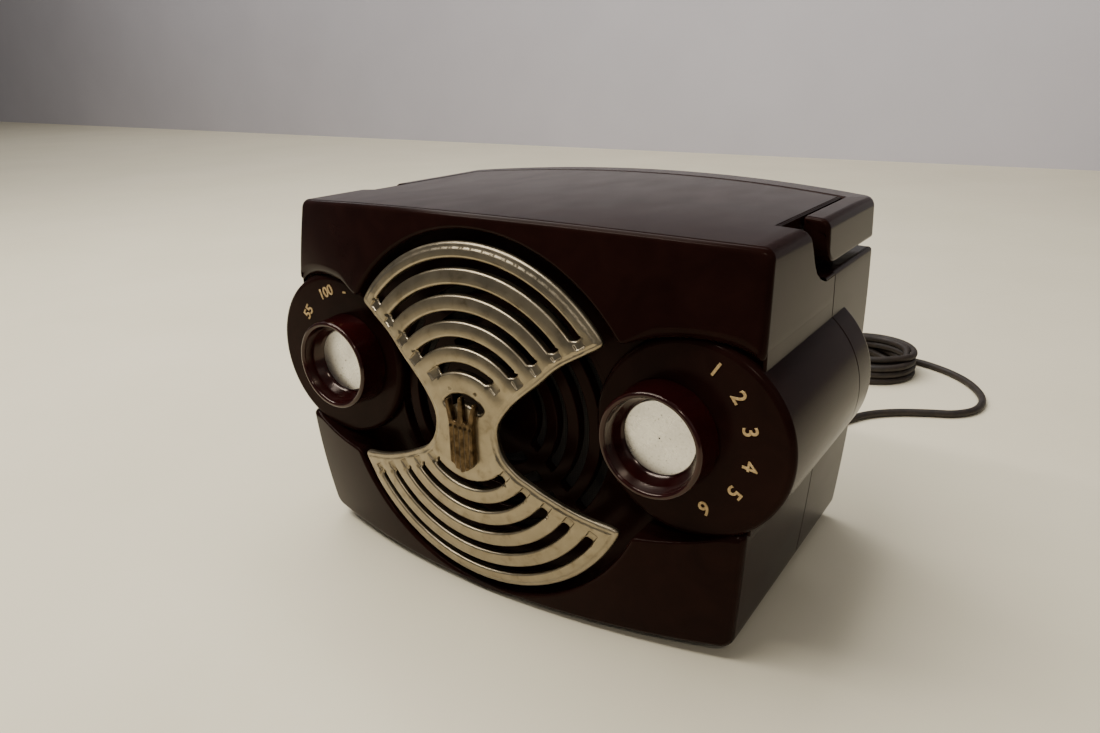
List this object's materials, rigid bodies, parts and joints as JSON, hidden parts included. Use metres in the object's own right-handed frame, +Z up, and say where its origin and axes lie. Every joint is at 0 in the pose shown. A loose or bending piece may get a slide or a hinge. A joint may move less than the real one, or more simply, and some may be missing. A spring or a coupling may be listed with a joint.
{
  "type": "table radio",
  "caption": "Dark moulded table radio with a folding carrying handle, an hourglass metal grille, round knob bosses on both sides, and a coiled mains cord.",
  "frame": {"origin": "on the table under the middle of the radio, measured without its cord", "axes": "+Z up, +X to the right as seen from the front, the front faces -Y"},
  "size_m": [0.2588, 0.3872, 0.1533],
  "materials": {
    "bakelite": "glossy moulded phenolic, dark red-brown",
    "knob_bakelite": "glossy deep red",
    "champagne_metal": "satin champagne",
    "aged_bronze": "aged bronze",
    "mirror_disc": "speckled silver",
    "plated_steel": "plated",
    "aluminium_can": "plain",
    "brass": "plain",
    "tube_glass": "getter-darkened clear glass",
    "card": "pressed fibre board",
    "cloth": "dark woven",
    "cone_paper": "felted paper",
    "rubber": "matte",
    "cord_rubber": "dull dark brown"
  },
  "bodies": {
    "radio": {"front_shell": "bakelite", "rear_shell": "bakelite", "hourglass_grille": "champagne_metal", "crest_plate": "aged_bronze", "chassis": "plated_steel", "chassis_screw_1": "plated_steel", "chassis_screw_2": "plated_steel", "chassis_screw_3": "plated_steel", "shell_screw_1": "plated_steel", "shell_screw_2": "plated_steel", "shell_screw_3": "plated_steel", "shell_screw_4": "plated_steel", "handle_pin_left": "plated_steel", "handle_pin_right": "plated_steel", "speaker_frame": "plated_steel", "speaker_magnet": "plated_steel", "volume_control": "plated_steel", "output_transformer": "plated_steel", "if_can_1": "aluminium_can", "if_can_2": "aluminium_can", "filter_capacitor": "aluminium_can", "tuning_capacitor": "aluminium_can", "plug_blade_left": "brass", "plug_blade_right": "brass", "valve_converter": "tube_glass", "valve_if_amplifier": "tube_glass", "valve_detector": "tube_glass", "valve_output": "tube_glass", "valve_rectifier": "tube_glass", "baffle_board": "card", "loop_antenna": "card", "socket_converter": "card", "socket_if_amplifier": "card", "socket_detector": "card", "socket_output": "card", "socket_rectifier": "card", "grille_cloth": "cloth", "speaker_cone": "cone_paper", "rubber_foot_front_left": "rubber", "rubber_foot_front_right": "rubber", "rubber_foot_rear_left": "rubber", "rubber_foot_rear_right": "rubber", "strain_relief": "rubber", "plug_body": "rubber", "power_cord": "cord_rubber", "cord_coil": "cord_rubber", "cord_tail": "cord_rubber"},
    "tuning": {"tuning_knob": "knob_bakelite", "tuning_knob_disc": "mirror_disc", "tuning_rotor": "brass"},
    "volume": {"volume_knob": "knob_bakelite", "volume_knob_disc": "mirror_disc", "volume_shaft": "aluminium_can"},
    "handle": {"carrying_handle": "bakelite"}
  },
  "joints": [
    {"name": "tuning_turn", "type": "hinge", "parent": "radio", "child": "tuning", "pos_m": [-0.0736, -0.0698, 0.0852], "axis": [0, 1, 0], "range_deg": [0, 180]},
    {"name": "volume_turn", "type": "hinge", "parent": "radio", "child": "volume", "pos_m": [0.0736, -0.0698, 0.0852], "axis": [0, 1, 0], "range_deg": [0, 300]},
    {"name": "handle_lift", "type": "hinge", "parent": "radio", "child": "handle", "pos_m": [0, 0.0117, 0.1428], "axis": [1, 0, 0], "range_deg": [0, 90]}
  ]
}
